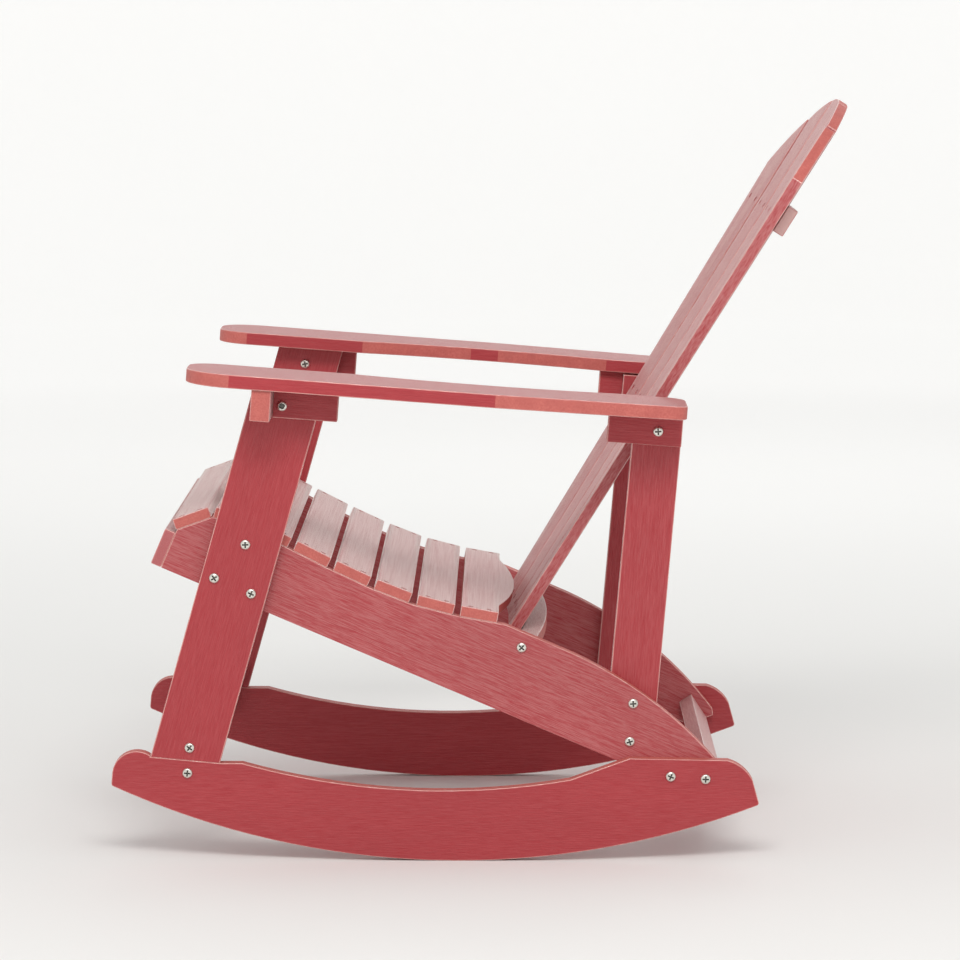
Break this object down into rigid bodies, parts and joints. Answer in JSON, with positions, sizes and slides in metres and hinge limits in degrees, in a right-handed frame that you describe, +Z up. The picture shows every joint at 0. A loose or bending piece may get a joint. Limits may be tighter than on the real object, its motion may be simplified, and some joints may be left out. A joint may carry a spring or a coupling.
{
  "type": "rocking garden chair",
  "caption": "Slatted garden chair on curved rockers, with a fanned hollow back, a sloped seat and broad flat arms.",
  "frame": {"origin": "on the floor, under the middle of the chair's bounding box; the rockers touch the floor 34 mm ahead of it", "axes": "+X to the sitter's left, the sitter faces -Y, +Z up"},
  "size_m": [0.728, 0.9496, 0.9606],
  "materials": {
    "red_board": "foam plastic board with a fine embossed grain, satin skin and lighter milled edges",
    "screw_steel": "plain stainless"
  },
  "bodies": {
    "root": {"arm_left": "red_board", "arm_right": "red_board", "back_batten_upper": "red_board", "back_crossbar": "red_board", "back_slat_1": "red_board", "back_slat_2": "red_board", "back_slat_3": "red_board", "back_slat_4": "red_board", "back_slat_5": "red_board", "foot_cleat_left": "red_board", "foot_cleat_right": "red_board", "foot_screws": "screw_steel", "front_arm_bracket_left": "red_board", "front_arm_bracket_right": "red_board", "front_arm_cleat_left": "red_board", "front_arm_cleat_right": "red_board", "front_cleat_bolts": "screw_steel", "front_cleat_nuts": "screw_steel", "front_leg_left": "red_board", "front_leg_right": "red_board", "leg_to_rail_screws": "screw_steel", "lower_back_rail": "red_board", "lower_back_rail_screws": "screw_steel", "rear_arm_cleat_left": "red_board", "rear_arm_cleat_right": "red_board", "rear_cleat_screws": "screw_steel", "rear_cross_board": "red_board", "rear_leg_left": "red_board", "rear_leg_right": "red_board", "rear_leg_screws": "screw_steel", "rocker_left": "red_board", "rocker_right": "red_board", "rocker_to_rail_screws": "screw_steel", "seat_apron": "red_board", "seat_rail_left": "red_board", "seat_rail_right": "red_board", "seat_slat_1": "red_board", "seat_slat_2": "red_board", "seat_slat_3": "red_board", "seat_slat_4": "red_board", "seat_slat_5": "red_board", "seat_slat_6": "red_board", "seat_slat_7": "red_board", "seat_slat_8": "red_board"}
  },
  "joints": []
}
